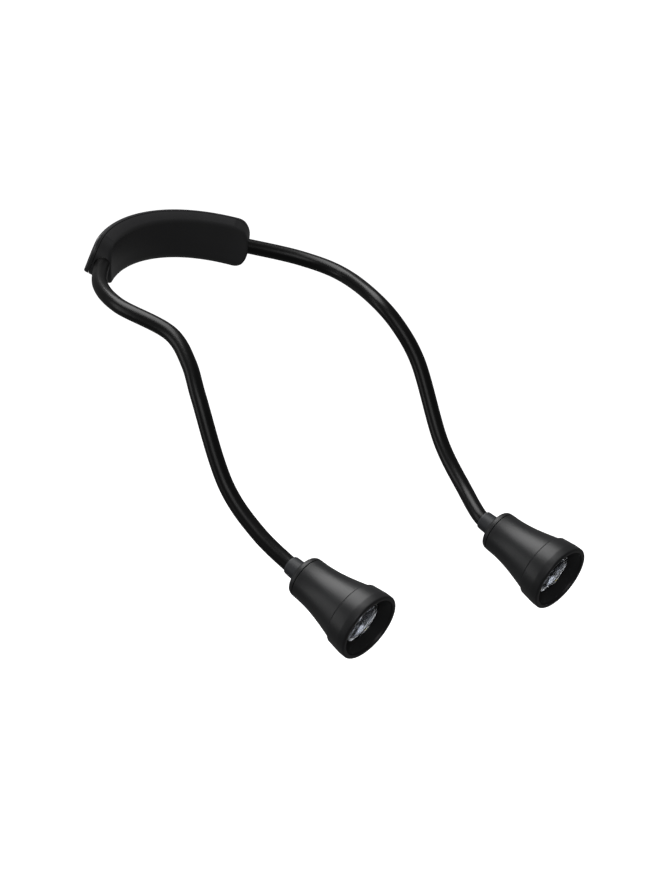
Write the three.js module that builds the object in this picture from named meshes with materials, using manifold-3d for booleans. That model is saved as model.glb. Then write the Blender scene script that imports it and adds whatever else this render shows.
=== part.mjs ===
// Reading light worn round the neck: a curved housing with a head on a flexible arm at each end.
// Millimetres. +Z up, -Y the way the wearer faces, +X the wearer's left.
// The origin is the middle of the face that lies on the neck.
import * as THREE from 'three';
import { mergeVertices } from 'three/addons/utils/BufferGeometryUtils.js';
import Module from 'manifold-3d';

const wasm = await Module();
wasm.setup();

// Housing
const restRadius = 78.7;        // curve of the neck-side face at the origin
const restCone = 21.8;          // degrees that this face opens upward
const housingDepth = 12.3;      // neck side to back at the origin
const innerTop = 8.8;           // heights of the section's corners above and below the origin
const outerTop = 11.2;
const innerBottom = 12.8;
const outerBottom = 8.8;
const housingHalfAngle = 39.5;  // degrees, middle to end face
const housingTilt = 29.4;       // degrees, top leaning toward the neck
const wall = 1.6;
const innerBottomRadius = 3.2;  // edges along the housing
const innerTopRadius = 3.4;
const outerTopRadius = 2.2;
const outerBottomRadius = 1.2;
const endTopRadius = 11;        // corners of the end faces
const endInnerRadius = 9;       // lower corner on the neck side
const endOuterRadius = 3;       // lower corner at the back
const coverDepth = 2.8;         // part of the depth that the back cover takes

// Screws that hold the cover
const screwAngle = 22.4;        // degrees from the middle
const screwRise = 5;            // above and below the buttons' height
const screwLength = 7.5;        // cover's face to tip
const screwPoint = 0.6;
const screwRadius = 1;
const screwHeadRadius = 1.9;
const screwHeadHeight = 1.2;
const screwRecess = 1.1;        // head below the cover's face
const bossRadius = 2.4;

// Cells, boards, switches and buttons
const cellLength = 19;
const cellHeight = 12;
const cellDepth = 4.6;
const cellAngle = 13.8;
const cellRise = -0.5;
const chargeBoardLength = 17.5;
const chargeBoardHeight = 12;
const chargeBoardDepth = 4.8;   // its middle, back from the neck side at the origin
const chargeBoardRise = -2.4;
const boardDepth = 1;
const socketWidth = 8.9;
const socketHeight = 7.3;
const socketDepth = 3.2;
const socketPlate = 0.35;
const socketMouthDepth = 5;
const tongue = [6.6, 0.7, 4.4];  // of the socket: along, deep, high
const tongueRise = 3;           // its middle above the socket's mouth
const driverBoardLength = 9;
const driverBoardHeight = 11;
const buttonAngle = 27.5;
const buttonRise = 1.2;
const switchSize = 6;
const switchDepth = 2;
const buttonLength = 11;
const buttonHeight = 7;
const buttonProud = 0.9;
const buttonFlange = 1.1;
const buttonTravel = 0.7;

// Arms
const sleeveRadius = 4;
const coreRadius = 2.5;
const ballRadius = 2.9;
const sleeveBore = 3;           // radius of the hollow round the core
const armStep = 5.5;            // length of one straight facet of an arm
const hingeGap = 1.6;           // sleeve end back from the middle of a hinge
const exitAngle = 35.3;         // where an arm's line leaves the cavity: degrees from the middle
const exitDepth = 4.9;          // back from the neck side at the origin
const exitRise = -1.2;
const exitToeIn = 6.2;          // degrees that an arm turns in from the housing's curve
const exitLift = 3.6;           // degrees that it rises from the housing's plane
const armReach = 166;           // exit to back of head, forward
const armDrop = 135.3;          // exit to back of head, down
const hang = { right: 0.85, left: -0.85 };  // how far each head hangs below that
// Rows of the arm's line: millimetres out, share of the reach, share of the drop
const armLine = [
  [23.7, 0.143, 0.058],
  [31.8, 0.272, 0.108],
  [26.4, 0.478, 0.199],
  [28.1, 0.559, 0.290],
  [30.7, 0.617, 0.405],
  [29.7, 0.731, 0.721],
  [26.6, 0.841, 0.871],
];
const headOut = 22;
const hingeShares = [0.06, 0.275, 0.49, 0.705, 0.92];  // of the length from exit to ferrule
const anchorLength = 6;
const anchorRadius = 3.2;
const anchorStart = 1;          // its outer face, outward from the exit
const exitHoleDepth = 12;

// Heads
const headPitch = 27.7;         // degrees down from straight ahead
const headYaw = 7.7;            // degrees toward the wearer's left, both heads alike
const headLength = 45.5;
const backRadius = 11.1;
const ridgeRadius = 16.4;
const bezelBackRadius = 17.3;
const rimRadius = 18.5;
const lipRadius = 16.2;         // mouth of the recess
const recessDepth = 6;
const lensRadius = 12;
const capLength = 3.2;
const bezelLength = 12.3;
const ferruleLength = 8.5;
const sleeveInFerrule = 2;      // how far the sleeve reaches in
const ferruleBackRadius = 4.9;
const ferruleFrontRadius = 5.5;
const headWall = 1.5;
const flareSteps = 8;

// Clearances
const gap = 0.3;                // between neighbouring pieces
const slip = 0.25;              // a button in its opening

const sides = { right: -1, left: 1 };
const rad = THREE.MathUtils.degToRad;
const backFace = restRadius + housingDepth;
const exitHoleRadius = sleeveRadius + 1.4 * gap;
const coverSplit = backFace - coverDepth;
const tilt = new THREE.Matrix4().makeRotationX(rad(housingTilt));

const group = new THREE.Group();
group.name = 'neck_reading_light';

const looks = {
  shell: [0x17181a, 0.42, 0],
  sleeve: [0x101010, 0.6, 0],
  steel: [0x8f9296, 0.35, 0.9],
  ferrule: [0x2c2e31, 0.5, 0],
  lens: [0xdfe4e8, 0.08, 0],
  reflector: [0xc9ccd0, 0.15, 0.9],
  board: [0x1d4a2e, 0.6, 0],
  aluminiumBoard: [0xe8e8e4, 0.5, 0.2],
  phosphor: [0xe8d35a, 0.4, 0],
  cell: [0xa9adb2, 0.4, 0.4],
  switch: [0x202225, 0.5, 0],
};

function add(name, geometry, look) {
  const [color, roughness, metalness] = looks[look];
  const mesh = new THREE.Mesh(geometry, new THREE.MeshStandardMaterial({ color, roughness, metalness }));
  mesh.name = name;
  group.add(mesh);
}

// Solid for a boolean, with its faces turned out, and back again
function toSolid(geometry) {
  const plain = geometry.clone();
  plain.deleteAttribute('normal');
  plain.deleteAttribute('uv');
  const merged = mergeVertices(plain, 1e-5);
  const vertProperties = new Float32Array(merged.attributes.position.array);
  const triVerts = new Uint32Array(merged.index.array);
  const solid = new wasm.Manifold(new wasm.Mesh({ numProp: 3, vertProperties, triVerts }));
  if (solid.volume() > 0) return solid;
  for (let i = 0; i < triVerts.length; i += 3) {
    [triVerts[i], triVerts[i + 1]] = [triVerts[i + 1], triVerts[i]];
  }
  return new wasm.Manifold(new wasm.Mesh({ numProp: 3, vertProperties, triVerts }));
}

function toGeometry(solid) {
  const mesh = solid.getMesh();
  const geometry = new THREE.BufferGeometry();
  geometry.setAttribute('position', new THREE.BufferAttribute(mesh.vertProperties, 3));
  geometry.setIndex(new THREE.BufferAttribute(mesh.triVerts, 1));
  geometry.computeVertexNormals();
  return geometry;
}

// Frame whose X, Y and Z run along the given directions
function frameAt(origin, x, y, z) {
  return new THREE.Matrix4().makeBasis(x, y, z).setPosition(origin);
}

// Housing frame at an angle from the middle: X along the curve, Y out of the back, Z up
function housingFrame(angle, radius, rise = 0) {
  const s = Math.sin(angle);
  const c = Math.cos(angle);
  const origin = new THREE.Vector3(radius * s, radius * c - restRadius, rise);
  return frameAt(origin, new THREE.Vector3(c, -s, 0), new THREE.Vector3(s, c, 0), new THREE.Vector3(0, 0, 1));
}

function box(length, depth, height, frame) {
  return new THREE.BoxGeometry(length, depth, height).applyMatrix4(frame);
}

// Cylinder from back to front along the frame's Y
function pin(radius, back, front, frame, facets = 16) {
  return new THREE.CylinderGeometry(radius, radius, front - back, facets)
    .translate(0, (front + back) / 2, 0).applyMatrix4(frame);
}

// Upright prism of a plan outline, from low to high
function prism(shape, low, high) {
  return new THREE.ExtrudeGeometry(shape, { depth: high - low, bevelEnabled: false, curveSegments: 5 })
    .translate(0, 0, low);
}

// Radius of the neck-side face at a height
function restAt(rise) {
  return restRadius + rise * Math.tan(rad(restCone));
}

// Section of the housing: radius, height and edge radius of each corner, clockwise
const sectionCorners = [
  [restAt(-innerBottom), -innerBottom, innerBottomRadius],
  [restAt(innerTop), innerTop, innerTopRadius],
  [backFace, outerTop, outerTopRadius],
  [backFace, -outerBottom, outerBottomRadius],
];

// Point where sides i - 1 and i of the section meet once both are moved in
function meeting(i, inset) {
  const n = sectionCorners.length;
  const lines = [i + n - 1, i].map((k) => {
    const [x, y] = sectionCorners[k % n];
    const [nextX, nextY] = sectionCorners[(k + 1) % n];
    const along = new THREE.Vector2(nextX - x, nextY - y).normalize();
    const inward = new THREE.Vector2(along.y, -along.x);
    return { along, inward, point: new THREE.Vector2(x, y).addScaledVector(inward, inset) };
  });
  const [a, b] = lines;
  const step = b.point.clone().sub(a.point).cross(b.along) / a.along.cross(b.along);
  return { point: a.point.clone().addScaledVector(a.along, step), from: a.inward, to: b.inward };
}

// Section moved in all round, with rounded corners
function section(inset) {
  const shape = new THREE.Shape();
  sectionCorners.forEach(([, , edge], i) => {
    const radius = Math.max(edge - inset, 0.6);
    const { point, from, to } = meeting(i, inset + radius);
    const start = Math.atan2(-from.y, -from.x);
    shape.absarc(point.x, point.y, radius, start, Math.atan2(-to.y, -to.x), true);
  });
  return shape.extractPoints(3).shape;
}

// Section turned round the neck's axis
function ring(outline) {
  const points = outline.map((p) => new THREE.Vector2(p.x, p.y));
  if (points[0].distanceTo(points[points.length - 1]) > 1e-6) points.push(points[0].clone());
  const geometry = new THREE.LatheGeometry(points, 72);
  geometry.rotateX(Math.PI / 2).translate(0, -restRadius, 0);
  return toSolid(geometry);
}

function sector(halfAngle, low, high) {
  const far = 200;
  const x = far * Math.sin(halfAngle);
  const y = far * Math.cos(halfAngle) - restRadius;
  const shape = new THREE.Shape([
    new THREE.Vector2(0, -restRadius), new THREE.Vector2(x, y), new THREE.Vector2(-x, y),
  ]);
  return toSolid(prism(shape, low, high));
}

// What is cut off a corner of an end face to round it, tapering from the neck side to the back
function cornerCutter(side, up, inset) {
  const spare = 0.6;
  const shape = new THREE.Shape();
  shape.moveTo(spare, -1);
  shape.lineTo(spare, spare);
  shape.lineTo(-1, spare);
  shape.lineTo(-1, 0);
  shape.absarc(-1, -1, 1, Math.PI / 2, 0, true);
  const geometry = new THREE.ExtrudeGeometry(shape, { depth: 1, bevelEnabled: false, curveSegments: 4 });
  const front = restAt(up > 0 ? innerTop : -innerBottom);
  const radii = up > 0 ? [endTopRadius, endTopRadius] : [endInnerRadius, endOuterRadius];
  const edges = up > 0 ? [innerTop, outerTop] : [innerBottom, outerBottom];
  const position = geometry.attributes.position;
  for (let i = 0; i < position.count; i += 1) {
    const share = position.getZ(i) * 1.4 - 0.2;
    const radius = radii[0] + (radii[1] - radii[0]) * share - inset;
    const edge = edges[0] + (edges[1] - edges[0]) * share - inset;
    const depth = front + (backFace - front) * share;
    position.setXYZ(i, position.getX(i) * radius - inset, up * (position.getY(i) * radius + edge), depth);
  }
  const frame = housingFrame(side * rad(housingHalfAngle), 0);
  const along = new THREE.Vector3().setFromMatrixColumn(frame, 0).multiplyScalar(side);
  const back = new THREE.Vector3().setFromMatrixColumn(frame, 1);
  const origin = new THREE.Vector3().setFromMatrixPosition(frame);
  return toSolid(geometry.applyMatrix4(frameAt(origin, along, new THREE.Vector3(0, 0, 1), back)));
}

// Higher than half the housing
const tall = 30;

// Housing moved in all round
function housingBlock(inset) {
  const half = rad(housingHalfAngle) - inset / restRadius;
  return Object.values(sides).reduce((solid, side) => solid
    .subtract(cornerCutter(side, 1, inset))
    .subtract(cornerCutter(side, -1, inset)),
  ring(section(inset)).intersect(sector(half, -tall, tall)));
}

const bodySolid = housingBlock(0);
const cavitySolid = housingBlock(wall);

function plainRing(from, to) {
  return ring([[from, -tall], [to, -tall], [to, tall], [from, tall]].map(([x, y]) => ({ x, y })));
}

const screwFrames = {};
for (const [name, side] of Object.entries(sides)) {
  for (const [level, up] of Object.entries({ upper: 1, lower: -1 })) {
    const rise = buttonRise + up * screwRise;
    screwFrames[`${name}_${level}`] = housingFrame(side * rad(screwAngle), backFace, rise);
  }
}

// Direction in which an arm leaves, and where, in the housing's own frame
function armExit(side) {
  const frame = housingFrame(side * rad(exitAngle), restRadius + exitDepth, exitRise);
  const heading = rad(exitAngle + exitToeIn);
  const level = Math.cos(rad(exitLift));
  return {
    point: new THREE.Vector3().setFromMatrixPosition(frame),
    along: new THREE.Vector3(
      side * Math.cos(heading) * level,
      -Math.sin(heading) * level,
      Math.sin(rad(exitLift)),
    ),
  };
}

function rodFrame(origin, along) {
  const up = Math.abs(along.z) < 0.9 ? new THREE.Vector3(0, 0, 1) : new THREE.Vector3(1, 0, 0);
  const x = new THREE.Vector3().crossVectors(along, up).normalize();
  return frameAt(origin, x, along, new THREE.Vector3().crossVectors(x, along));
}

function buildFrontShell() {
  let solid = bodySolid.intersect(plainRing(restAt(-innerBottom) - wall, coverSplit)).subtract(cavitySolid);
  for (const frame of Object.values(screwFrames)) {
    const boss = toSolid(pin(bossRadius, -housingDepth, -coverDepth, frame));
    solid = solid.add(boss.intersect(bodySolid));
  }
  for (const frame of Object.values(screwFrames)) {
    solid = solid.subtract(toSolid(pin(screwRadius + gap / 2, -screwLength - gap, 0, frame)));
  }
  for (const side of Object.values(sides)) {
    const { point, along } = armExit(side);
    const hole = pin(exitHoleRadius, anchorStart, exitHoleDepth, rodFrame(point, along), 24);
    solid = solid.subtract(toSolid(hole));
  }
  const socket = housingFrame(0, socketRadius(), -innerBottom);
  solid = solid.subtract(toSolid(box(socketWidth + gap, socketDepth + gap, 8 * wall, socket)));
  add('front_shell', toGeometry(solid).applyMatrix4(tilt), 'shell');
}

// The charge board stands between the cells, with the socket on its back
function chargeBoardRadius() {
  return restRadius + chargeBoardDepth;
}

function socketRadius() {
  return chargeBoardRadius() + (boardDepth + socketDepth) / 2 + 0.02;
}

// Radius of the flat seat of a button, clear of the cover's curve at the flange's ends
function buttonSeat() {
  const inside = backFace - wall;
  const halfFlange = buttonLength / 2 + 1;
  return Math.sqrt(inside ** 2 - halfFlange ** 2) - buttonFlange - 0.12;
}

function switchRadius() {
  return buttonSeat() - buttonTravel - 0.15 - switchDepth / 2;
}

function pill(length, height, depth, frame) {
  const r = height / 2;
  const shape = new THREE.Shape();
  shape.absarc(length / 2 - r, 0, r, -Math.PI / 2, Math.PI / 2, false);
  shape.absarc(-length / 2 + r, 0, r, Math.PI / 2, 1.5 * Math.PI, false);
  const geometry = new THREE.ExtrudeGeometry(shape, { depth, bevelEnabled: false, curveSegments: 4 });
  return geometry.rotateX(-Math.PI / 2).applyMatrix4(frame);
}

function buildBackCover() {
  let solid = bodySolid.intersect(plainRing(coverSplit + gap, backFace + wall)).subtract(cavitySolid);
  for (const side of Object.values(sides)) {
    const frame = housingFrame(side * rad(buttonAngle), backFace - 2 * wall, buttonRise);
    solid = solid.subtract(toSolid(pill(buttonLength + 2 * slip, buttonHeight + 2 * slip, 4 * wall, frame)));
  }
  for (const frame of Object.values(screwFrames)) {
    solid = solid.add(toSolid(pin(bossRadius, gap - coverDepth, -wall, frame)).intersect(bodySolid));
  }
  for (const frame of Object.values(screwFrames)) {
    solid = solid.subtract(toSolid(pin(screwRadius + gap / 2, -2 * coverDepth, 2, frame)));
    solid = solid.subtract(toSolid(pin(screwHeadRadius + gap / 2, -screwRecess - screwHeadHeight - 0.1, 2, frame)));
  }
  add('back_cover', toGeometry(solid).applyMatrix4(tilt), 'shell');
}

function buildScrews() {
  for (const [name, frame] of Object.entries(screwFrames)) {
    const neck = -screwRecess - screwHeadHeight;
    const outline = [
      [0, -screwLength], [screwRadius / 2, -screwLength], [screwRadius, screwPoint - screwLength],
      [screwRadius, neck],
      [screwHeadRadius, neck], [screwHeadRadius, neck + 0.8], [screwHeadRadius - 0.5, -screwRecess],
      [0, -screwRecess],
    ].map(([x, y]) => new THREE.Vector2(x, y));
    const head = toSolid(new THREE.LatheGeometry(outline, 12));
    const slot = (turn) => toSolid(new THREE.BoxGeometry(2.2, 1.2, 0.5)
      .rotateY(turn).translate(0, -screwRecess, 0));
    const solid = head.subtract(slot(0)).subtract(slot(Math.PI / 2));
    add(`${name}_screw`, toGeometry(solid).applyMatrix4(frame).applyMatrix4(tilt), 'steel');
  }
}

function buildElectronics() {
  const charge = housingFrame(0, chargeBoardRadius(), chargeBoardRise);
  add('charge_board', box(chargeBoardLength, boardDepth, chargeBoardHeight, charge).applyMatrix4(tilt), 'board');
  const low = -outerBottom - 2 * gap;
  const socket = housingFrame(0, socketRadius(), low + socketHeight / 2);
  const shell = toSolid(box(socketWidth, socketDepth, socketHeight, socket));
  const mouth = housingFrame(0, socketRadius(), low - 0.1 + socketMouthDepth / 2);
  const inner = [socketWidth - 2 * socketPlate, socketDepth - 2 * socketPlate, socketMouthDepth];
  const hollow = toSolid(box(...inner, mouth));
  const blade = toSolid(box(...tongue, housingFrame(0, socketRadius(), low + tongueRise)));
  add('charge_socket', toGeometry(shell.subtract(hollow).add(blade)).applyMatrix4(tilt), 'steel');
  const lean = new THREE.Matrix4().makeRotationX(-rad(restCone));
  const toMiddle = (wall + gap + cellDepth / 2) / Math.cos(rad(restCone));
  for (const [name, side] of Object.entries(sides)) {
    const cell = housingFrame(side * rad(cellAngle), restAt(cellRise) + toMiddle, cellRise).multiply(lean);
    add(`${name}_cell`, box(cellLength, cellDepth, cellHeight, cell).applyMatrix4(tilt), 'cell');
    const at = switchRadius();
    const press = housingFrame(side * rad(buttonAngle), at, buttonRise);
    add(`${name}_switch`, box(switchSize, switchDepth, switchSize, press).applyMatrix4(tilt), 'switch');
    const board = housingFrame(side * rad(buttonAngle), at - (switchDepth + boardDepth) / 2 - 0.02, buttonRise);
    const plate = box(driverBoardLength, boardDepth, driverBoardHeight, board);
    add(`${name}_driver_board`, plate.applyMatrix4(tilt), 'board');
  }
}

function buildButtons() {
  for (const [name, side] of Object.entries(sides)) {
    const seat = housingFrame(side * rad(buttonAngle), buttonSeat(), buttonRise);
    const flange = toSolid(pill(buttonLength + 2, buttonHeight + 2, buttonFlange, seat));
    const cap = toSolid(pill(buttonLength, buttonHeight, backFace + buttonProud - buttonSeat(), seat));
    add(`${name}_button`, toGeometry(flange.add(cap)).applyMatrix4(tilt), 'switch');
  }
}

const headAlong = new THREE.Vector3(
  Math.sin(rad(headYaw)) * Math.cos(rad(headPitch)),
  -Math.cos(rad(headYaw)) * Math.cos(rad(headPitch)),
  -Math.sin(rad(headPitch)),
);

function dropOf(side) {
  return armDrop + (side < 0 ? hang.right : hang.left);
}

// Back of a head, on its axis
function headOrigin(side) {
  const exit = armExit(side).point.clone().applyMatrix4(tilt);
  return exit.add(new THREE.Vector3(side * headOut, -armReach, -dropOf(side)));
}

// The arm's line from inside the housing to inside the ferrule
function armCurve(side) {
  const exit = armExit(side);
  const start = exit.point.clone().applyMatrix4(tilt);
  const along = exit.along.clone().transformDirection(tilt);
  const points = [start.clone().addScaledVector(along, -anchorLength - wall), start];
  for (const [out, forward, down] of armLine) {
    points.push(start.clone().add(new THREE.Vector3(side * out, -forward * armReach, -down * dropOf(side))));
  }
  const back = headOrigin(side);
  for (const along of [-ferruleLength - 1, -3, 8]) {
    points.push(back.clone().addScaledVector(headAlong, along));
  }
  const curve = new THREE.CatmullRomCurve3(points, false, 'centripetal');
  curve.arcLengthDivisions = 2000;
  return curve;
}

// Length along the line at which it passes nearest a point
function lengthAt(curve, point) {
  const total = curve.getLength();
  let best = [Infinity, 0];
  for (let i = 0; i <= 2000; i += 1) {
    const d = curve.getPointAt(i / 2000).distanceTo(point);
    if (d < best[0]) best = [d, i / 2000 * total];
  }
  return best[1];
}

function piece(curve, from, to) {
  const total = curve.getLength();
  const count = Math.max(2, Math.round((to - from) / armStep));
  const points = [];
  for (let i = 0; i <= count; i += 1) {
    points.push(curve.getPointAt((from + (to - from) * i / count) / total));
  }
  return { path: new THREE.CatmullRomCurve3(points, false, 'centripetal'), count };
}

function tube(curve, from, to, radius, bore, facets) {
  const { path, count } = piece(curve, from, to);
  const shape = new THREE.Shape();
  shape.absarc(0, 0, radius, 0, 2 * Math.PI, false);
  if (bore) shape.holes.push(new THREE.Path().absarc(0, 0, bore, 0, 2 * Math.PI, true));
  return new THREE.ExtrudeGeometry(shape, {
    steps: count, extrudePath: path, curveSegments: facets / 2, bevelEnabled: false,
  });
}

function ball(radius, at, facets) {
  return toSolid(new THREE.SphereGeometry(radius, facets, facets / 2).translate(at.x, at.y, at.z));
}

function armStations(side) {
  const curve = armCurve(side);
  const total = curve.getLength();
  const exit = lengthAt(curve, armExit(side).point.clone().applyMatrix4(tilt));
  const ferrule = lengthAt(curve, headOrigin(side).addScaledVector(headAlong, -ferruleLength));
  const stations = hingeShares.map((share) => exit + share * (ferrule - exit));
  return { curve, total, exit, ferrule, stations };
}

function buildArm(name, side) {
  const { curve, total, exit, ferrule, stations } = armStations(side);
  const at = (s) => curve.getPointAt(Math.min(1, s / total));
  const ends = [exit + anchorStart, ...stations, ferrule + sleeveInFerrule];
  for (let i = 0; i < ends.length - 1; i += 1) {
    const from = i === 0 ? ends[0] + gap : ends[i] + hingeGap;
    const to = i === ends.length - 2 ? ends[i + 1] : ends[i + 1] - hingeGap;
    add(`${name}_sleeve_${i + 1}`, tube(curve, from, to, sleeveRadius, sleeveBore, 14), 'sleeve');
  }
  const coreEnds = [exit + anchorStart - anchorLength / 2, ...stations, ferrule + 7];
  for (let i = 0; i < coreEnds.length - 1; i += 1) {
    let solid = toSolid(tube(curve, coreEnds[i], coreEnds[i + 1], coreRadius, 0, 10));
    if (i > 0) solid = solid.subtract(ball(ballRadius + gap, at(coreEnds[i]), 12));
    if (i < coreEnds.length - 2) solid = solid.add(ball(ballRadius, at(coreEnds[i + 1]), 12));
    if (i === 0) {
      const grip = rodFrame(armExit(side).point, armExit(side).along);
      const block = pin(anchorRadius, anchorStart - anchorLength, anchorStart, grip).applyMatrix4(tilt);
      add(`${name}_arm_anchor`, toGeometry(solid.add(toSolid(block))), 'steel');
    } else {
      add(`${name}_core_${i + 1}`, toGeometry(solid), 'steel');
    }
  }
}

// Round piece of a head: rows of distance from the back ring and radius
function turned(side, rows, facets = 28) {
  const points = rows.map(([along, radius]) => new THREE.Vector2(radius, along));
  const frame = rodFrame(headOrigin(side), headAlong);
  return toGeometry(toSolid(new THREE.LatheGeometry(points, facets).applyMatrix4(frame)));
}

function closed(rows) {
  return [...rows, rows[0]];
}

const bodyEnd = headLength - bezelLength;
const boardFront = bodyEnd - 5.2;

// Flare of a head's body: share of the rise from its rear radius to its ridge, at a share of its length
function flare(t) {
  return 1.25 * t ** 2 - 0.25 * t ** 4;
}

function buildHead(name, side) {
  const collar = ferruleFrontRadius - 1.2;
  add(`${name}_ferrule`, turned(side, closed([
    [-ferruleLength, sleeveRadius + gap + 0.1], [-ferruleLength, ferruleBackRadius - 0.3],
    [gap - ferruleLength, ferruleBackRadius], [-gap, ferruleFrontRadius], [-gap, collar],
    [capLength + gap, collar],
    [capLength + gap, ferruleFrontRadius + 1], [capLength + 2.2, ferruleFrontRadius + 1],
    [capLength + 2.2, coreRadius + gap], [sleeveInFerrule + 1 - ferruleLength, sleeveBore],
    [sleeveInFerrule + 1 - ferruleLength, sleeveRadius + gap + 0.1],
  ]), 24), 'ferrule');
  add(`${name}_rear_cap`, turned(side, closed([
    [0, collar + gap], [0, backRadius - 1.8], [0.4, backRadius - 0.9], [1.4, backRadius - 0.3],
    [capLength, backRadius], [capLength, collar + gap],
  ])), 'shell');
  const outer = [];
  for (let i = 0; i <= flareSteps; i += 1) {
    const t = i / flareSteps;
    const along = capLength + gap + t * (bodyEnd - capLength - 2 * gap);
    outer.push([along, backRadius + flare(t) * (ridgeRadius - backRadius)]);
  }
  const inner = outer.slice(1, -1).map(([along, radius]) => [along, radius - headWall]).reverse();
  add(`${name}_head_body`, turned(side, closed([
    ...outer, [bodyEnd - gap, ridgeRadius - headWall], ...inner,
    [capLength + 3, backRadius - headWall], [capLength + 3, collar + 3.4], [capLength + 2.6, collar + 3.4],
    [capLength + gap, collar + 3.4],
  ])), 'shell');
  const lensFront = headLength - recessDepth;
  add(`${name}_bezel`, turned(side, closed([
    [bodyEnd, lensRadius + 3], [bodyEnd, bezelBackRadius - 0.5], [bodyEnd + 0.8, bezelBackRadius],
    [headLength - 4, rimRadius - 0.2], [headLength - 1, rimRadius], [headLength, rimRadius - 0.9],
    [headLength, lipRadius + 0.9], [headLength - 0.8, lipRadius], [lensFront, lensRadius + gap],
    [lensFront - 1.2, lensRadius + gap], [lensFront - 1.2, lensRadius + 1.8],
    [bodyEnd + 1.5, lensRadius + 3],
  ])), 'shell');
  add(`${name}_lens`, turned(side, [
    [boardFront + 3.4, 0], [boardFront + 1.4, 3.4], [boardFront + 1.2, 4.2], [lensFront - 3, lensRadius - 0.6],
    [lensFront - 0.6, lensRadius], [lensFront, lensRadius - 0.4], [lensFront - 0.8, 6], [lensFront - 0.5, 0],
  ], 24), 'lens');
  add(`${name}_reflector`, turned(side, closed([
    [boardFront + 0.4, 4.8], [boardFront + 0.4, 6.6], [bodyEnd + 1, lensRadius + 2.4],
    [lensFront - 1.8, lensRadius + 1.4], [lensFront - 1.8, lensRadius + gap],
    [lensFront - 3.2, lensRadius + gap],
  ]), 24), 'reflector');
  add(`${name}_led_board`, turned(side, [
    [boardFront - 1.6, 0], [boardFront - 1.6, 12.6], [boardFront, 12.6], [boardFront, 0],
  ], 24), 'aluminiumBoard');
  add(`${name}_led`, turned(side, [
    [boardFront + 0.05, 0], [boardFront + 0.05, 1.9], [boardFront + 0.6, 1.9], [boardFront + 0.8, 1.3],
    [boardFront + 1.1, 0.8], [boardFront + 1.2, 0],
  ], 16), 'phosphor');
}

buildFrontShell();
buildBackCover();
buildScrews();
buildElectronics();
buildButtons();
for (const [name, side] of Object.entries(sides)) {
  buildArm(name, side);
  buildHead(name, side);
}

export default group;
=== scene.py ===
import math

import bmesh
import bpy
import numpy as np
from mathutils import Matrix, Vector


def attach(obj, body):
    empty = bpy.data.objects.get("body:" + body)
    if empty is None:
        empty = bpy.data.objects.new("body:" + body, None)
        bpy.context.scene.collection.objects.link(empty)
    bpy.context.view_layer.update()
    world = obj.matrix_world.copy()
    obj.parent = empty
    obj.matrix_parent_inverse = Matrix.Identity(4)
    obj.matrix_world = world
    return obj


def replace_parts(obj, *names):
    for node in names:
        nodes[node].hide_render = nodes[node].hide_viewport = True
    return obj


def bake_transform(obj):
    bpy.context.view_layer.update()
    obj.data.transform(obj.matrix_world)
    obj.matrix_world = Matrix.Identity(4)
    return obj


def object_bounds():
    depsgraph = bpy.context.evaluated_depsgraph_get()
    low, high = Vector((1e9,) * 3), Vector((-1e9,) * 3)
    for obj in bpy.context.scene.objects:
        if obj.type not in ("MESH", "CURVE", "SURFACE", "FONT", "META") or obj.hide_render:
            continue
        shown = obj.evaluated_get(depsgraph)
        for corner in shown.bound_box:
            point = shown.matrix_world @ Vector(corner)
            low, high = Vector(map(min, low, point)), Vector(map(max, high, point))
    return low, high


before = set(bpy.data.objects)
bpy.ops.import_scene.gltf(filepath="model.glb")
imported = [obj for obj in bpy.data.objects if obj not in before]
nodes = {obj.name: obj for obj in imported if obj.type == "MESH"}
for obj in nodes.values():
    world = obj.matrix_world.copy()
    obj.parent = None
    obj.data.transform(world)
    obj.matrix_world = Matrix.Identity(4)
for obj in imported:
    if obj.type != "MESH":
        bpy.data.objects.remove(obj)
cadLow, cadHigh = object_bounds()
print("frame loaded:", len(nodes), "CAD nodes")

# Every length in the dictionaries below is in millimetres, as in the CAD model, and becomes metres as a mesh is made
metre = 0.001
sides = {"right": -1, "left": 1}

# Housing, arms and heads share these with the CAD model
lamp = dict(
    restRadius=78.7, restCone=21.8, housingDepth=12.3, halfAngle=39.5, tilt=29.4, wall=1.6,
    innerTop=8.8, outerTop=11.2, innerBottom=12.8, outerBottom=8.8,
    coverDepth=2.8, gap=0.3,
    exitAngle=35.3, exitDepth=4.9, exitRise=-1.2, exitToeIn=6.2, exitLift=3.6, anchorBack=7.6, anchorStart=1,
    armReach=166, armDrop=135.3, hang={-1: 0.85, 1: -0.85}, headOut=22, sleeveRadius=4, sleeveBore=3,
    ferruleLength=8.5, headPitch=27.7, headYaw=7.7, headLength=45.5, bezelLength=12.3,
)
backFace = lamp["restRadius"] + lamp["housingDepth"]


# Rotation about X that leans the housing's top toward the neck, as whole arrays
def leaned(points):
    turn = math.radians(lamp["tilt"])
    x, y, z = np.moveaxis(np.asarray(points, float), -1, 0)
    return np.stack([x, y * math.cos(turn) - z * math.sin(turn), y * math.sin(turn) + z * math.cos(turn)], -1)


# Angle round the neck, radius and height, leaned with the housing
def bent(angle, radius, height):
    angle, radius, height = np.broadcast_arrays(angle, radius, height)
    return leaned(np.stack([radius * np.sin(angle), radius * np.cos(angle) - lamp["restRadius"], height], -1))


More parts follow.
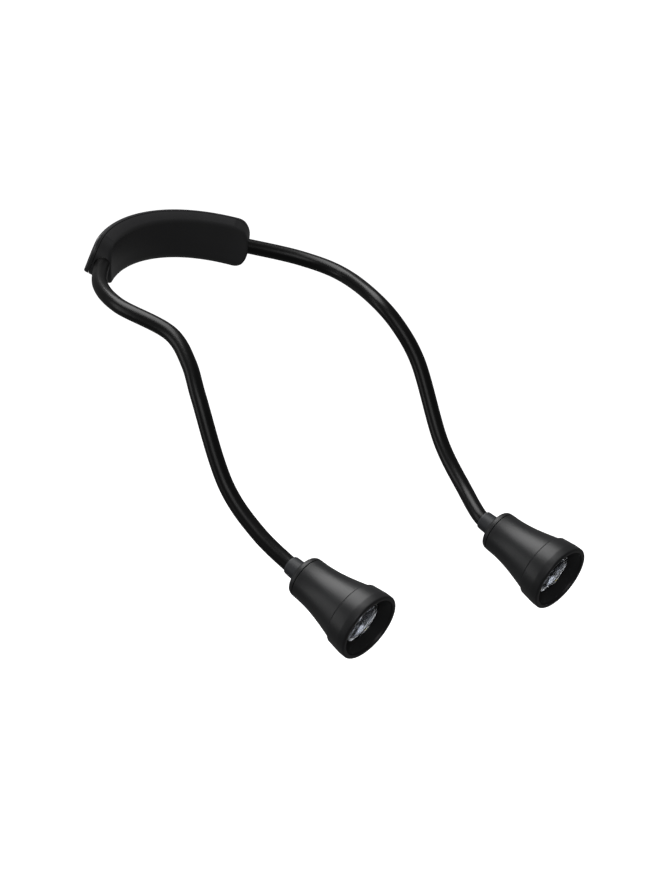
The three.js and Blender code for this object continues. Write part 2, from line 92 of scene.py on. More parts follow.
# Grid of points, rows by columns, as a closed surface. Columns always join round. Rows join round when
# ringed, and otherwise each end closes on the middle of its row
def gridMesh(name, grid, ringed=False):
    rows, cols = grid.shape[:2]
    points = grid.reshape(-1, 3)
    r = np.arange(rows if ringed else rows - 1)[:, None]
    c = np.arange(cols)[None, :]
    r2, c2 = (r + 1) % rows, (c + 1) % cols
    quads = np.stack([r * cols + c, r * cols + c2, r2 * cols + c2, r2 * cols + c], -1).reshape(-1, 4)
    faces = quads.tolist()
    if not ringed:
        points = np.vstack([points, grid[0].mean(0), grid[-1].mean(0)])
        c = np.arange(cols)
        first, last = rows * cols, rows * cols + 1
        faces += np.stack([np.full(cols, first), (c + 1) % cols, c], -1).tolist()
        top = (rows - 1) * cols
        faces += np.stack([np.full(cols, last), top + c, top + (c + 1) % cols], -1).tolist()
    mesh = bpy.data.meshes.new(name)
    mesh.from_pydata((points * metre).tolist(), [], faces)
    tidy(mesh)
    return mesh


# Doubled points merged and every face turned outward
def tidy(mesh, distance=1e-6):
    work = bmesh.new()
    work.from_mesh(mesh)
    bmesh.ops.remove_doubles(work, verts=work.verts, dist=distance)
    bmesh.ops.dissolve_degenerate(work, edges=work.edges, dist=distance)
    bmesh.ops.recalc_face_normals(work, faces=work.faces)
    work.to_mesh(mesh)
    work.free()


# Object for a mesh, shaded smooth but for edges where faces turn by more than the crease angle in degrees
def piece(name, mesh, material, crease=32):
    mesh.materials.clear()
    mesh.materials.append(material)
    mesh.shade_smooth()
    mesh.set_sharp_from_angle(angle=math.radians(crease))
    made = bpy.data.objects.new(name, mesh)
    bpy.context.scene.collection.objects.link(made)
    return made


# Mesh with others cut out of it or joined to it
def combined(mesh, others, operation):
    base = bpy.data.objects.new("base", mesh)
    bpy.context.scene.collection.objects.link(base)
    tools = []
    for other in others:
        tool = bpy.data.objects.new("tool", other)
        bpy.context.scene.collection.objects.link(tool)
        tools.append(tool)
        cut = base.modifiers.new("cut", "BOOLEAN")
        cut.operation = operation
        cut.solver = "MANIFOLD"
        cut.object = tool
    seen = base.evaluated_get(bpy.context.evaluated_depsgraph_get())
    made = bpy.data.meshes.new_from_object(seen)
    for thing in [base] + tools:
        bpy.data.objects.remove(thing)
    tidy(made, 2e-7)
    return made


# Closed outline whose corners [x, y, radius] each become an arc tangent to both sides
def rounded(corners, steps=7, closed=True):
    rows = np.asarray(corners, float)
    point, radius = rows[:, :2], rows[:, 2]
    before, after = np.roll(point, 1, 0) - point, np.roll(point, -1, 0) - point
    lengthBefore, lengthAfter = np.linalg.norm(before, axis=1), np.linalg.norm(after, axis=1)
    before /= lengthBefore[:, None]
    after /= lengthAfter[:, None]
    half = 0.5 * np.arccos(np.clip((before * after).sum(1), -1, 1))
    if not closed:
        radius = radius.copy()
        radius[[0, -1]] = 0
    reach = np.minimum(radius / np.tan(half), 0.49 * np.minimum(lengthBefore, lengthAfter))
    reach = np.where(half > 1.56, 0, reach)
    size = reach * np.tan(half)
    middle = before + after
    middle /= np.maximum(np.linalg.norm(middle, axis=1), 1e-9)[:, None]
    centre = point + middle * (size / np.sin(half))[:, None]
    start, end = point + before * reach[:, None] - centre, point + after * reach[:, None] - centre
    sweep = np.maximum(np.pi - 2 * half, 1e-6)
    t = np.linspace(0, 1, steps)[None, :, None]
    wide = sweep[:, None, None]
    arc = (start[:, None] * np.sin((1 - t) * wide) + end[:, None] * np.sin(t * wide)) / np.sin(wide)
    line = (centre[:, None] + arc).reshape(-1, 2)
    keep = np.linalg.norm(line - np.roll(line, 1, 0), axis=1) > 1e-4
    keep[0] = True
    return line[keep]


print("helpers ready")


# Materials

# Shader node group with named inputs and outputs, filled in by the caller
def newGroup(name, inputs, outputs):
    group = bpy.data.node_groups.new(name, "ShaderNodeTree")
    for label, kind, value in inputs:
        socket = group.interface.new_socket(label, in_out="INPUT", socket_type=kind)
        if value is not None:
            socket.default_value = value
    for label, kind in outputs:
        group.interface.new_socket(label, in_out="OUTPUT", socket_type=kind)
    return group, group.nodes.new("NodeGroupInput"), group.nodes.new("NodeGroupOutput")


def link(tree, a, b):
    tree.links.new(a, b)


def mathNode(tree, operation, a, b=None, clamp=False):
    node = tree.nodes.new("ShaderNodeMath")
    node.operation = operation
    node.use_clamp = clamp
    for socket, value in zip(node.inputs, (a, b)):
        if value is None:
            continue
        if isinstance(value, (int, float)):
            socket.default_value = value
        else:
            link(tree, value, socket)
    return node.outputs[0]


def noiseNode(tree, vector, scale, detail=3.0, roughness=0.55):
    node = tree.nodes.new("ShaderNodeTexNoise")
    node.inputs["Detail"].default_value = detail
    node.inputs["Roughness"].default_value = roughness
    if isinstance(scale, (int, float)):
        node.inputs["Scale"].default_value = scale
    else:
        link(tree, scale, node.inputs["Scale"])
    link(tree, vector, node.inputs["Vector"])
    return node.outputs[0]


# Fine moulded grain: height for a bump, and a slow cloudy tone that drifts over the piece
def buildGrain():
    group, start, end = newGroup("mouldGrain", [
        ("Vector", "NodeSocketVector", None),
        ("Grain Scale", "NodeSocketFloat", 2500.0),
        ("Cloud Scale", "NodeSocketFloat", 60.0),
    ], [("Height", "NodeSocketFloat"), ("Cloud", "NodeSocketFloat")])
    vector = start.outputs["Vector"]
    fine = noiseNode(group, vector, start.outputs["Grain Scale"], 2.0, 0.5)
    cloud = noiseNode(group, vector, start.outputs["Cloud Scale"], 3.0, 0.6)
    link(group, fine, end.inputs["Height"])
    link(group, cloud, end.inputs["Cloud"])
    return group


# Wear: 1 on outer edges rubbed by handling, broken up by noise, 0 on flats
def buildWear():
    group, start, end = newGroup("edgeWear", [
        ("Vector", "NodeSocketVector", None),
        ("Amount", "NodeSocketFloat", 0.5),
    ], [("Mask", "NodeSocketFloat")])
    form = group.nodes.new("ShaderNodeNewGeometry")
    edge = group.nodes.new("ShaderNodeMapRange")
    edge.inputs["From Min"].default_value = 0.52
    edge.inputs["From Max"].default_value = 0.62
    link(group, form.outputs["Pointiness"], edge.inputs["Value"])
    patch = noiseNode(group, start.outputs["Vector"], 400.0, 4.0, 0.65)
    broken = mathNode(group, "MULTIPLY", edge.outputs[0], patch)
    mask = mathNode(group, "MULTIPLY", broken, start.outputs["Amount"], clamp=True)
    link(group, mask, end.inputs["Mask"])
    return group


# Dust and hairline scuffs: Dust lies on faces that look up, Scuff is thin streaks in all directions
def buildDust():
    group, start, end = newGroup("dustAndScuffs", [
        ("Vector", "NodeSocketVector", None),
    ], [("Dust", "NodeSocketFloat"), ("Scuff", "NodeSocketFloat")])
    vector = start.outputs["Vector"]
    form = group.nodes.new("ShaderNodeNewGeometry")
    split = group.nodes.new("ShaderNodeSeparateXYZ")
    link(group, form.outputs["Normal"], split.inputs[0])
    up = mathNode(group, "MAXIMUM", split.outputs["Z"], 0.0)
    speck = noiseNode(group, vector, 1400.0, 3.0, 0.7)
    sparse = group.nodes.new("ShaderNodeMapRange")
    sparse.inputs["From Min"].default_value = 0.58
    sparse.inputs["From Max"].default_value = 0.78
    link(group, speck, sparse.inputs["Value"])
    link(group, mathNode(group, "MULTIPLY", up, sparse.outputs[0]), end.inputs["Dust"])
    stretch = group.nodes.new("ShaderNodeMapping")
    stretch.inputs["Rotation"].default_value = (0.4, 0.9, 0.5)
    stretch.inputs["Scale"].default_value = (1.0, 14.0, 14.0)
    link(group, vector, stretch.inputs["Vector"])
    streak = noiseNode(group, stretch.outputs[0], 90.0, 5.0, 0.75)
    thin = group.nodes.new("ShaderNodeMapRange")
    thin.inputs["From Min"].default_value = 0.62
    thin.inputs["From Max"].default_value = 0.72
    link(group, streak, thin.inputs["Value"])
    link(group, thin.outputs[0], end.inputs["Scuff"])
    return group


grain, wear, dust = buildGrain(), buildWear(), buildDust()


def placed(tree, group, vector, **values):
    node = tree.nodes.new("ShaderNodeGroup")
    node.node_tree = group
    link(tree, vector, node.inputs["Vector"])
    for label, value in values.items():
        node.inputs[label].default_value = value
    return node


def colorMix(tree, share, a, b):
    node = tree.nodes.new("ShaderNodeMix")
    node.data_type = "RGBA"
    first, second = [s for s in node.inputs if s.name == "A" and s.type == "RGBA"][0], [
        s for s in node.inputs if s.name == "B" and s.type == "RGBA"][0]
    for socket, value in ((first, a), (second, b)):
        if isinstance(value, tuple):
            socket.default_value = (*value, 1)
        else:
            link(tree, value, socket)
    link(tree, share, node.inputs["Factor"])
    return [s for s in node.outputs if s.type == "RGBA"][0]


# Moulded plastic, rubber or metal: base colour drifting to a second one with the cloud, edges and dust on top,
# roughness that follows cloud and scuffs, and a fine bump
def solidFinish(name, finish):
    material = bpy.data.materials.new(name)
    material.use_nodes = True
    tree = material.node_tree
    shader = tree.nodes["Principled BSDF"]
    place = tree.nodes.new("ShaderNodeTexCoord").outputs["Object"]
    marks = placed(tree, grain, place, **{"Grain Scale": finish["grainScale"], "Cloud Scale": finish["cloudScale"]})
    rubbed = placed(tree, wear, place, Amount=finish["wear"])
    dirt = placed(tree, dust, place)
    color = colorMix(tree, marks.outputs["Cloud"], finish["color"], finish["drift"])
    color = colorMix(tree, rubbed.outputs["Mask"], color, finish["edge"])
    dusty = mathNode(tree, "MULTIPLY", dirt.outputs["Dust"], finish["dust"])
    color = colorMix(tree, dusty, color, (0.35, 0.34, 0.32))
    link(tree, color, shader.inputs["Base Color"])
    span = tree.nodes.new("ShaderNodeMapRange")
    span.inputs["To Min"].default_value = finish["roughness"][0]
    span.inputs["To Max"].default_value = finish["roughness"][1]
    link(tree, marks.outputs["Cloud"], span.inputs["Value"])
    scuffed = mathNode(tree, "MULTIPLY", dirt.outputs["Scuff"], finish["scuff"])
    link(tree, mathNode(tree, "ADD", span.outputs[0], scuffed, clamp=True), shader.inputs["Roughness"])
    bump = tree.nodes.new("ShaderNodeBump")
    bump.inputs["Strength"].default_value = finish["bump"]
    bump.inputs["Distance"].default_value = finish["bumpDepth"] * metre
    link(tree, marks.outputs["Height"], bump.inputs["Height"])
    link(tree, bump.outputs[0], shader.inputs["Normal"])
    shader.inputs["Metallic"].default_value = finish.get("metallic", 0.0)
    shader.inputs["Specular IOR Level"].default_value = finish.get("specular", 0.5)
    shader.inputs["Coat Weight"].default_value = finish.get("coat", 0.0)
    return material


plain = dict(grainScale=2600.0, cloudScale=55.0, wear=0.5, dust=0.10, scuff=0.10, bump=0.25, bumpDepth=0.02)
finishes = {
    "housingPlastic": dict(plain, color=(0.009, 0.009, 0.010), drift=(0.013, 0.013, 0.014),
                           edge=(0.05, 0.05, 0.052), roughness=(0.33, 0.41), wear=0.2, dust=0.05, scuff=0.05),
    "headPlastic": dict(plain, color=(0.008, 0.0083, 0.009), drift=(0.012, 0.0125, 0.0135),
                        edge=(0.05, 0.05, 0.052), roughness=(0.36, 0.44), specular=0.30, wear=0.25, dust=0.04,
                        scuff=0.05),
    "sleeveRubber": dict(plain, color=(0.0012, 0.0012, 0.0012), drift=(0.0025, 0.0025, 0.0026),
                         edge=(0.01, 0.01, 0.01), roughness=(0.30, 0.35), bump=0.12, bumpDepth=0.015, wear=0.1,
                         dust=0.02, scuff=0.03, specular=0.22),
    "ferrulePlastic": dict(plain, color=(0.014, 0.0155, 0.018), drift=(0.020, 0.0215, 0.025),
                           edge=(0.10, 0.10, 0.105), roughness=(0.45, 0.55), specular=0.35),
    "buttonRubber": dict(plain, color=(0.022, 0.022, 0.024), drift=(0.032, 0.032, 0.034),
                         edge=(0.08, 0.08, 0.08), roughness=(0.5, 0.62)),
    "switchPlastic": dict(plain, color=(0.02, 0.02, 0.022), drift=(0.03, 0.03, 0.032),
                          edge=(0.1, 0.1, 0.1), roughness=(0.45, 0.6)),
    "screwSteel": dict(plain, color=(0.42, 0.42, 0.43), drift=(0.55, 0.55, 0.56), edge=(0.8, 0.8, 0.8),
                       roughness=(0.22, 0.38), metallic=1.0, dust=0.05),
    "coreSteel": dict(plain, color=(0.36, 0.36, 0.38), drift=(0.5, 0.5, 0.52), edge=(0.75, 0.75, 0.75),
                      roughness=(0.3, 0.45), metallic=1.0, dust=0.0),
    "boardGreen": dict(plain, color=(0.01, 0.09, 0.035), drift=(0.014, 0.12, 0.05), edge=(0.5, 0.4, 0.2),
                       roughness=(0.35, 0.5), dust=0.0, cloudScale=300.0),
    "boardWhite": dict(plain, color=(0.75, 0.75, 0.72), drift=(0.85, 0.85, 0.83), edge=(0.6, 0.6, 0.6),
                       roughness=(0.4, 0.5), dust=0.0),
    "cellFoil": dict(plain, color=(0.5, 0.51, 0.53), drift=(0.62, 0.63, 0.65), edge=(0.8, 0.8, 0.8),
                     roughness=(0.25, 0.4), metallic=0.9, dust=0.0, cloudScale=180.0, bumpDepth=0.1),
    "reflectorMetal": dict(plain, color=(0.60, 0.61, 0.63), drift=(0.72, 0.73, 0.75), edge=(0.9, 0.9, 0.9),
                           roughness=(0.10, 0.2), metallic=1.0, dust=0.0, scuff=0.0, bump=0.1),
    "ledPhosphor": dict(plain, color=(0.85, 0.72, 0.20), drift=(0.9, 0.8, 0.32), edge=(0.9, 0.85, 0.5),
                        roughness=(0.2, 0.3), dust=0.0, scuff=0.0),
}
materials = {name: solidFinish(name, finish) for name, finish in finishes.items()}


# Clear moulded optic: full transmission, faint clouding in its roughness
def clearOptic(finish):
    material = bpy.data.materials.new("clearOptic")
    material.use_nodes = True
    tree = material.node_tree
    shader = tree.nodes["Principled BSDF"]
    place = tree.nodes.new("ShaderNodeTexCoord").outputs["Object"]
    marks = placed(tree, grain, place, **{"Grain Scale": 1800.0, "Cloud Scale": 240.0})
    tint = colorMix(tree, marks.outputs["Cloud"], finish["color"], finish["drift"])
    link(tree, tint, shader.inputs["Base Color"])
    span = tree.nodes.new("ShaderNodeMapRange")
    span.inputs["To Min"].default_value, span.inputs["To Max"].default_value = finish["roughness"]
    link(tree, marks.outputs["Cloud"], span.inputs["Value"])
    link(tree, span.outputs[0], shader.inputs["Roughness"])
    shader.inputs["Transmission Weight"].default_value = finish["transmission"]
    shader.inputs["IOR"].default_value = 1.49
    return material


materials["clearOptic"] = clearOptic(dict(color=(0.86, 0.88, 0.92), drift=(0.95, 0.96, 0.98),
                                          roughness=(0.02, 0.08), transmission=1.0))
print("materials ready:", len(materials))


# Housing

housing = dict(
    edges=(3.2, 3.4, 2.2, 1.2),     # radii along it: neck side below and above, back above and below
    endTop=11, endInner=9, endOuter=3,  # corner radii of the ends: top, and below at the neck side and the back
    endEdge=1.5,                    # radius round the end faces
    topBulge=0.35, restBulge=0.25,  # how far the top and the neck side swell
    step=1.2, around=112,
)


def restAt(height):
    return lamp["restRadius"] + height * math.tan(math.radians(lamp["restCone"]))


# Section moved in all round: radius and height of each corner, every side shifted along its own
# inward direction and met with the next, then rounded and split into short steps
def sectionOutline(inset=0.0):
    low, high = -lamp["innerBottom"], lamp["innerTop"]
    corners = np.array([(restAt(low), low), (restAt(high), high),
                        (backFace, lamp["outerTop"]), (backFace, -lamp["outerBottom"])])
    along = np.roll(corners, -1, 0) - corners
    along /= np.linalg.norm(along, axis=1)[:, None]
    inward = np.stack([along[:, 1], -along[:, 0]], -1)
    base = corners + inward * inset
    before, last = np.roll(along, 1, 0), np.roll(base, 1, 0)
    cross = before[:, 0] * along[:, 1] - before[:, 1] * along[:, 0]
    gap = base - last
    step = (gap[:, 0] * along[:, 1] - gap[:, 1] * along[:, 0]) / cross
    met = last + before * step[:, None]
    radii = np.maximum(np.array(housing["edges"]) - inset, 0.6)
    swell = np.array([housing["restBulge"], housing["topBulge"], 0.0, 0.0]) if inset == 0 else np.zeros(4)
    rows = []
    for corner, follow, radius, rise, into in zip(met, np.roll(met, -1, 0), radii, swell, inward):
        rows.append((*corner, radius))
        if rise:
            rows.append((*((corner + follow) / 2 - into * rise), 60.0))
    line = rounded(rows, steps=10)
    following = np.roll(line, -1, 0)
    split = [a + (b - a) * t for a, b in zip(line, following)
             for t in np.arange(max(1, round(np.linalg.norm(b - a) / housing["step"])))[:, None]
             / max(1, round(np.linalg.norm(b - a) / housing["step"]))]
    return np.array(split)


# How far an end face stands back at a radius and height. Top: r - sqrt(r^2 - u^2), u the height above
# where the corner starts to turn. Bottom the same, its radius growing toward the neck side
def endDrop(radius, height, inset):
    front = np.where(height > 0, restAt(lamp["innerTop"]), restAt(-lamp["innerBottom"]))
    share = np.clip((radius - front) / (backFace - front), -0.2, 1.2)
    drop = 0
    for up, edges, radii in (
            (1, (lamp["innerTop"], lamp["outerTop"]), (housing["endTop"], housing["endTop"])),
            (-1, (lamp["innerBottom"], lamp["outerBottom"]), (housing["endInner"], housing["endOuter"]))):
        edge = edges[0] + (edges[1] - edges[0]) * share - inset
        turn = radii[0] + (radii[1] - radii[0]) * share - inset
        u = np.clip(up * height - (edge - turn), 0, 0.995 * turn)
        drop = drop + turn - np.sqrt(turn ** 2 - u ** 2)
    return drop + inset


# Housing moved in all round, as rows of the section from the middle of one end to the middle of the other:
# over the end face, round its edge, along the curve, and the same again
def housingGrid(inset=0.0):
    line = sectionOutline(inset)
    ahead = np.roll(line, -1, 0) - np.roll(line, 1, 0)
    ahead /= np.linalg.norm(ahead, axis=1)[:, None]
    inward = np.stack([ahead[:, 1], -ahead[:, 0]], -1)
    edge = housing["endEdge"] if inset == 0 else 0.5
    half = math.radians(lamp["halfAngle"])
    middle = line.mean(0)
    cap = []
    for share in np.linspace(0.94, 0, 10):
        flat = (line + inward * edge) * (1 - share) + middle * share
        cap.append((flat, half - endDrop(flat[:, 0], flat[:, 1], inset) / flat[:, 0]))
    for turn in np.linspace(0, math.pi / 2, 8)[1:]:
        flat = line + inward * edge * (1 - math.sin(turn))
        back = edge * (1 - math.cos(turn))
        cap.append((flat, half - (endDrop(flat[:, 0], flat[:, 1], inset) + back) / flat[:, 0]))
    reach = cap[-1][1]
    rows = [bent(-angle, flat[:, 0], flat[:, 1]) for flat, angle in cap]
    rows += [bent(share * reach, line[:, 0], line[:, 1]) for share in np.linspace(-1, 1, housing["around"])[1:-1]]
    rows += [bent(angle, flat[:, 0], flat[:, 1]) for flat, angle in cap[::-1]]
    return np.array(rows)


# Wall between two radii, taller and longer than the housing
def wallRing(name, inside, outside):
    outline = np.array([(inside, -30), (inside, 30), (outside, 30), (outside, -30)], float)
    angles = np.radians(np.linspace(-55, 55, 111))
    return gridMesh(name, np.array([bent(angle, outline[:, 0], outline[:, 1]) for angle in angles]))


# Cylinder or pill standing on the housing's back at an angle and height: outline of a stadium,
# rows at depths with insets, in the local frame there
def backFrame(angle, radius, rise):
    a = math.radians(angle)
    origin = np.array([radius * math.sin(a), radius * math.cos(a) - lamp["restRadius"], rise])
    across = np.array([math.cos(a), -math.sin(a), 0.0])
    out = np.array([math.sin(a), math.cos(a), 0.0])
    return origin, across, out


def stadium(length, height, count=48):
    r = min(length, height) / 2
    half = max(length, height) / 2 - r
    turn = np.linspace(-math.pi / 2, math.pi / 2, count // 2)
    right = np.stack([half + r * np.cos(turn), r * np.sin(turn)], -1)
    line = np.vstack([right, -right])
    return line if length >= height else line[:, ::-1]


# Stack of rows (distance out, inset from the outline) carried round an outline in a local frame,
# then leaned with the housing
def stacked(name, outline, rows, origin, across, out, up=(0.0, 0.0, 1.0)):
    line = np.asarray(outline, float)
    ahead = np.roll(line, -1, 0) - np.roll(line, 1, 0)
    ahead /= np.linalg.norm(ahead, axis=1)[:, None]
    away = np.stack([ahead[:, 1], -ahead[:, 0]], -1)
    if ((line * away).sum(1)).mean() < 0:
        away = -away
    up = np.asarray(up)
    rows = np.asarray(rows, float)
    flat = line[None] - away[None] * rows[:, 1][:, None, None]
    grid = origin + flat[..., :1] * across + flat[..., 1:2] * up + rows[:, 0][:, None, None] * out
    return gridMesh(name, leaned(grid))


button = dict(angle=27.5, rise=1.2, length=11, height=7, proud=0.9, flange=1.1, flangeSpread=1, slip=0.25,
              edge=0.7, dish=0.25)
screw = dict(angle=22.4, rise=5, head=1.9, recess=1.1, thick=1.2, shaft=1.0, length=7.5)
socket = dict(width=8.9, depth=3.2, fromRest=6.92, slip=0.25)


# Where an arm leaves the housing, in the housing's own frame before it leans: point and direction
def flatExit(side):
    at, turn, lift = (math.radians(lamp[label]) for label in ("exitAngle", "exitToeIn", "exitLift"))
    radius = lamp["restRadius"] + lamp["exitDepth"]
    point = np.array([side * radius * math.sin(at), radius * math.cos(at) - lamp["restRadius"], lamp["exitRise"]])
    heading = at + turn
    along = np.array([side * math.cos(heading) * math.cos(lift), -math.sin(heading) * math.cos(lift),
                      math.sin(lift)])
    return point, along


# The whole skin less the cavity, kept between two radii
def housingWall(name, inside, outside):
    skin = gridMesh(name, housingGrid())
    hollow = combined(skin, [gridMesh("cavity", housingGrid(lamp["wall"]))], "DIFFERENCE")
    return combined(hollow, [wallRing("kept", inside, outside)], "INTERSECT")


def buildHousing():
    split = backFace - lamp["coverDepth"]
    front = housingWall("housing_shell", 40, split)
    cutters = []
    for side in sides.values():
        origin, along = flatExit(side)
        across = np.cross([0, 0, 1], along)
        across /= np.linalg.norm(across)
        hole = lamp["sleeveRadius"] + 0.2
        rows = [(lamp["anchorStart"], 0), (12, 0)]
        cutters.append(stacked("exit", stadium(2 * hole, 2 * hole, 64), rows, origin, across, along,
                               np.cross(along, across)))
    origin, across, out = backFrame(0, lamp["restRadius"] + socket["fromRest"], -12)
    notch = stadium(socket["width"] + 2 * socket["slip"], socket["depth"] + 2 * socket["slip"])
    grid = [origin + notch[:, :1] * across + notch[:, 1:] * out + np.array([0, 0, z]) for z in (-4.0, 4.0)]
    cutters.append(gridMesh("notch", leaned(np.array(grid))))
    front = combined(front, cutters, "DIFFERENCE")
    shell = piece("housing_shell", front, materials["housingPlastic"])
    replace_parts(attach(shell, "housing"), "front_shell")

    cover = housingWall("housing_cover", split + lamp["gap"], backFace + 5)
    cutters = []
    for side in sides.values():
        place = backFrame(side * button["angle"], backFace, button["rise"])
        hole = stadium(button["length"] + 2 * button["slip"], button["height"] + 2 * button["slip"], 64)
        cutters.append(stacked("well", hole, [(-4, 0), (-0.5, 0), (0.05, -0.35), (2, -0.35)], *place))
        for up in (1, -1):
            place = backFrame(side * screw["angle"], backFace, button["rise"] + up * screw["rise"])
            bore = stadium(2 * screw["head"] + 0.3, 2 * screw["head"] + 0.3)
            cutters.append(stacked("bore", bore, [(-1.6 - 0.9, 0), (-0.35, 0), (0.05, -0.4), (2, -0.4)], *place))
    cover = combined(cover, cutters, "DIFFERENCE")
    back = piece("housing_cover", cover, materials["housingPlastic"])
    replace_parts(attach(back, "housing"), "back_cover")


# Button: flange, wall, rounded edge and a top that dips toward its middle
def buildButton(name, side):
    inside = backFace - lamp["wall"]
    halfFlange = button["length"] / 2 + button["flangeSpread"]
    seat = math.sqrt(inside ** 2 - halfFlange ** 2) - button["flange"] - 0.12
    top = backFace + button["proud"] - seat
    place = backFrame(side * button["angle"], seat, button["rise"])
    edge = button["edge"]
    turn = np.linspace(0, math.pi / 2, 7)
    rows = [(0.0, 2.5), (0.0, -0.7), (0.3, -1.0), (button["flange"] - 0.3, -1.0), (button["flange"], -0.7),
            (button["flange"], 0.0)]
    rows += [(top - edge + edge * math.sin(t), edge * (1 - math.cos(t))) for t in turn]
    rows += [(top - 0.02, 1.1), (top - button["dish"], 1.9), (top - button["dish"], 3.2)]
    mesh = stacked(f"{name}_press_button", stadium(button["length"], button["height"], 64), rows, *place)
    made = piece(f"{name}_press_button", mesh, materials["buttonRubber"])
    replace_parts(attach(made, f"{name}_button"), f"{name}_button")


# Cross-head screw turned about the housing's outward direction
def buildScrew(name, side, level, up):
    place = backFrame(side * screw["angle"], backFace, button["rise"] + up * screw["rise"])
    neck = -screw["recess"] - screw["thick"]
    spread = screw["head"] - screw["shaft"]
    rows = [(-screw["length"], screw["head"] - 0.5), (-screw["length"] + 0.8, spread)]
    thread = np.linspace(-screw["length"] + 0.8, neck, 41)
    rows += [(z, spread + 0.12 * (i % 2)) for i, z in enumerate(thread)]
    rows += [(neck, 0.0), (neck + 0.75, 0.0), (neck + 1.0, 0.18), (neck + 1.15, 0.5), (neck + 1.2, 1.0)]
    mesh = stacked("screw", stadium(2 * screw["head"], 2 * screw["head"]), rows, *place)
    origin, across, out = place
    slots = [stacked("slot", [(-a, -b), (a, -b), (a, b), (-a, b)],
                     [(-screw["recess"] - 0.75, 0.1), (-screw["recess"] + 0.5, -0.05)], *place)
             for a, b in ((1.1, 0.28), (0.28, 1.1))]
    mesh = combined(mesh, slots, "DIFFERENCE")
    made = piece(f"{name}_{level}_cover_screw", mesh, materials["screwSteel"])
    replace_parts(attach(made, "housing"), f"{name}_{level}_screw")


buildHousing()
print("housing built")
for name, side in sides.items():
    buildButton(name, side)
    for level, up in (("upper", 1), ("lower", -1)):
        buildScrew(name, side, level, up)
print("buttons and screws built")


# Arms

arm = dict(
    # millimetres out, share of the reach, share of the drop, from the housing to the head
    line=[(23.7, .143, .058), (31.8, .272, .108), (26.4, .478, .199), (28.1, .559, .290),
          (30.7, .617, .405), (29.7, .731, .721), (26.6, .841, .871)],
    hinges=[0.06, 0.275, 0.49, 0.705, 0.92],   # of the length from exit to ferrule
    bendReach=[9.5, 17, 17, 17, 9.5],          # how far from a hinge the sleeve goes on bending
    ring=1.0,                                  # spacing of the rings
    around=40,
    intoFerrule=2,
)


def headAlong():
    yaw, pitch = math.radians(lamp["headYaw"]), math.radians(lamp["headPitch"])
    return np.array([math.sin(yaw) * math.cos(pitch), -math.cos(yaw) * math.cos(pitch), -math.sin(pitch)])


def armExit(side):
    origin, along = flatExit(side)
    return leaned(origin), leaned(along)


def headBack(side):
    point, _ = armExit(side)
    drop = lamp["armDrop"] + lamp["hang"][side]
    return point + np.array([side * lamp["headOut"], -lamp["armReach"], -drop])


# Centripetal Catmull-Rom line through points: knots spaced by the square root of the distance,
# and a cubic between each pair whose slopes come from the three knot spans round it
def smoothLine(points, perSpan=200):
    p = np.asarray(points, float)
    p = np.vstack([2 * p[0] - p[1], p, 2 * p[-1] - p[-2]])
    span = np.linalg.norm(np.diff(p, axis=0), axis=1) ** 0.5
    x0, x1, x2, x3 = p[:-3], p[1:-2], p[2:-1], p[3:]
    d0, d1, d2 = span[:-2, None], span[1:-1, None], span[2:, None]
    t1 = ((x1 - x0) / d0 - (x2 - x0) / (d0 + d1) + (x2 - x1) / d1) * d1
    t2 = ((x2 - x1) / d1 - (x3 - x1) / (d1 + d2) + (x3 - x2) / d2) * d1
    t = np.linspace(0, 1, perSpan, endpoint=False)[None, :, None]
    a, b, c, d = x1[:, None], t1[:, None], (-3 * x1 + 3 * x2 - 2 * t1 - t2)[:, None], (
        2 * x1 - 2 * x2 + t1 + t2)[:, None]
    dense = (a + b * t + c * t ** 2 + d * t ** 3).reshape(-1, 3)
    return np.vstack([dense, p[-2]])


def measured(line):
    return np.concatenate([[0], np.cumsum(np.linalg.norm(np.diff(line, axis=0), axis=1))])


def pointsAt(line, lengths, at):
    return np.stack([np.interp(at, lengths, line[:, i]) for i in range(3)], -1)


def armLine(side):
    start, along = armExit(side)
    points = [start - along * lamp["anchorBack"], start]
    drop = lamp["armDrop"] + lamp["hang"][side]
    for out, forward, down in arm["line"]:
        points.append(start + np.array([side * out, -forward * lamp["armReach"], -down * drop]))
    back = headBack(side)
    points += [back + headAlong() * step for step in (-lamp["ferruleLength"] - 1, -3, 8)]
    line = smoothLine(points)
    return line, measured(line)


def nearest(line, lengths, point):
    return lengths[np.argmin(np.linalg.norm(line - point, axis=1))]


# Tube wall along a line: rings stand square to the line's direction, each turned from the sideways
# direction X made square to it, outer ring out and inner ring back
def tubeGrid(line, lengths, start, end, outer, bore, around):
    count = max(3, int(round((end - start) / arm["ring"])))
    at = np.linspace(start, end, count + 1)
    centre = pointsAt(line, lengths, at)
    ahead = pointsAt(line, lengths, at + 0.05) - pointsAt(line, lengths, at - 0.05)
    ahead /= np.linalg.norm(ahead, axis=1)[:, None]
    side = np.array([1.0, 0, 0]) - ahead * ahead[:, :1]
    side /= np.linalg.norm(side, axis=1)[:, None]
    over = np.cross(ahead, side)
    turn = np.linspace(0, 2 * math.pi, around, endpoint=False)
    spoke = side[:, None] * np.cos(turn)[None, :, None] + over[:, None] * np.sin(turn)[None, :, None]
    skin = centre[:, None] + spoke * outer
    inside = centre[:, None] + spoke * bore
    return np.concatenate([skin, inside[::-1]])


